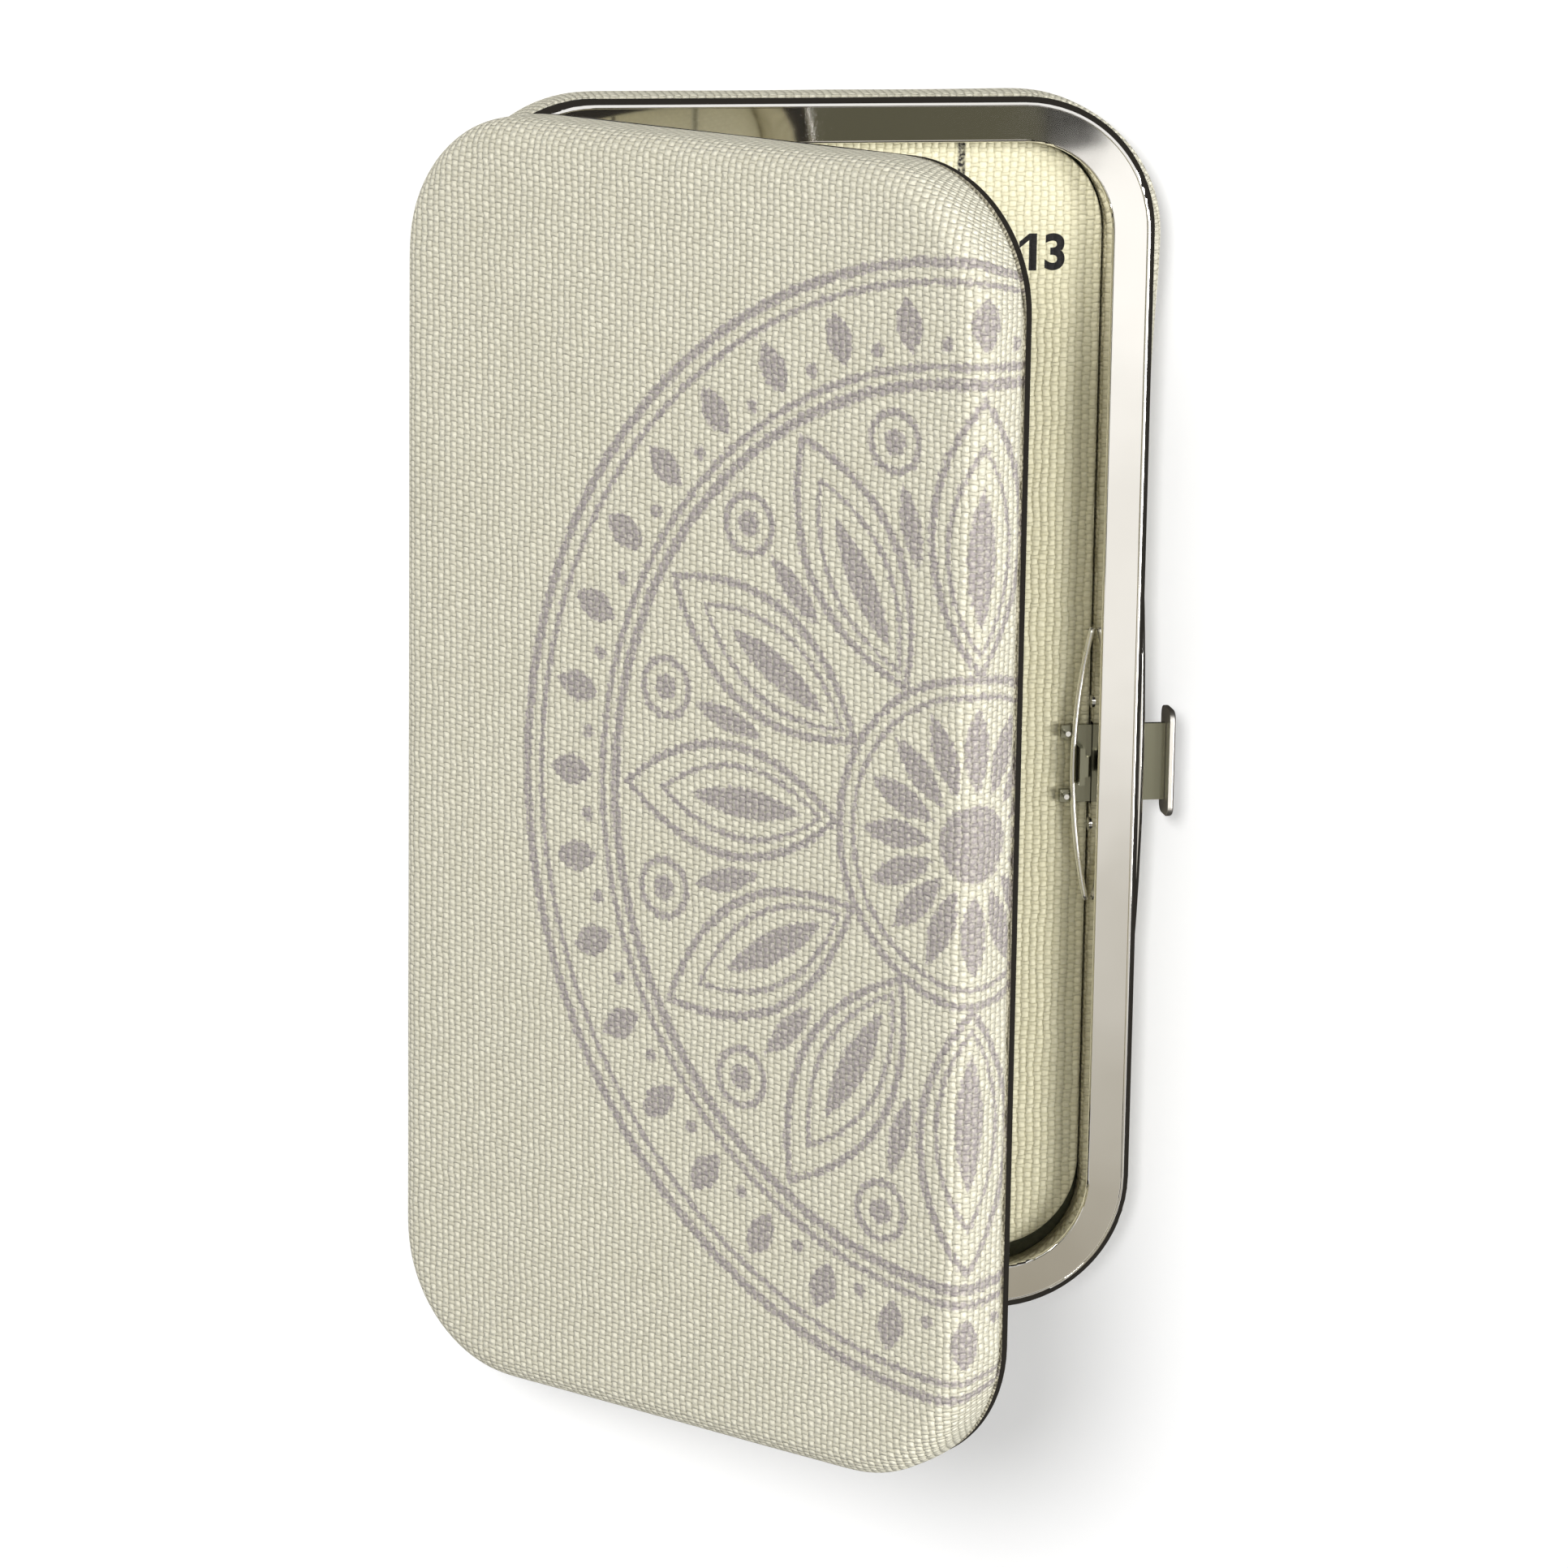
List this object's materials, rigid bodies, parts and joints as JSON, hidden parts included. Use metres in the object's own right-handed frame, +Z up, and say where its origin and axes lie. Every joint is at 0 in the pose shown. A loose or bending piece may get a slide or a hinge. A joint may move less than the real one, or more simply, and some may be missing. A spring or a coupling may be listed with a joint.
{
  "type": "magnetic needle case",
  "caption": "Hinged hard-shell needle case covered in linen, with polished steel rims, a sprung push latch and a magnetic cloth pad in each half.",
  "frame": {"origin": "centre of the base's flat back face, on which the case lies", "axes": "+Z up out of the back, +Y along the case's length, hinge at -X and latch at +X"},
  "size_m": [0.0895, 0.1416, 0.0743],
  "materials": {
    "linen": "cream plain-woven linen",
    "printed_linen": "cream plain-woven linen with a grey printed rosette",
    "pad_cloth": "cream linen with black column lines and numbers",
    "lining": "thin grey-green lining",
    "hard_board": "pressed grey board",
    "card": "stiff card",
    "magnetic_sheet": "flexible magnetic sheet",
    "plated_steel": "bright nickel plate",
    "rivet_steel": "nickel plate",
    "bar_steel": "dull olive-grey steel",
    "pin_steel": "drawn steel",
    "spring_wire": "bright spring wire"
  },
  "bodies": {
    "base": {"base_cover": "linen", "base_shell": "hard_board", "base_rim": "plated_steel", "base_lining": "lining", "base_magnet": "magnetic_sheet", "base_pad_board": "card", "base_pad": "pad_cloth", "base_hinge_leaf": "plated_steel", "base_hinge_rivets": "rivet_steel", "hinge_pin": "pin_steel", "latch_bracket": "plated_steel", "latch_rivets": "rivet_steel", "latch_spring": "spring_wire"},
    "latch": {"latch_bar": "bar_steel", "spring_pegs": "rivet_steel", "latch_button": "plated_steel"},
    "lid": {"lid_cover": "printed_linen", "lid_shell": "hard_board", "lid_rim": "plated_steel", "lid_lining": "lining", "lid_magnet": "magnetic_sheet", "lid_pad_board": "card", "lid_pad": "pad_cloth", "lid_hinge_leaf": "plated_steel", "lid_hinge_rivets": "rivet_steel", "lid_strike": "plated_steel", "lid_strike_rivets": "rivet_steel"}
  },
  "joints": [
    {"name": "lid_hinge", "type": "hinge", "parent": "base", "child": "lid", "pos_m": [-0.0394, 0, 0.0095], "axis": [0, -1, 0], "range_deg": [-49, 101]},
    {"name": "latch_slide", "type": "slide", "parent": "base", "child": "latch", "axis": [-1, 0, 0], "range_m": [0, 0.0015], "stiffness_N_per_m": 600, "springref_m": -0.001, "deforming": ["latch_spring"]}
  ]
}
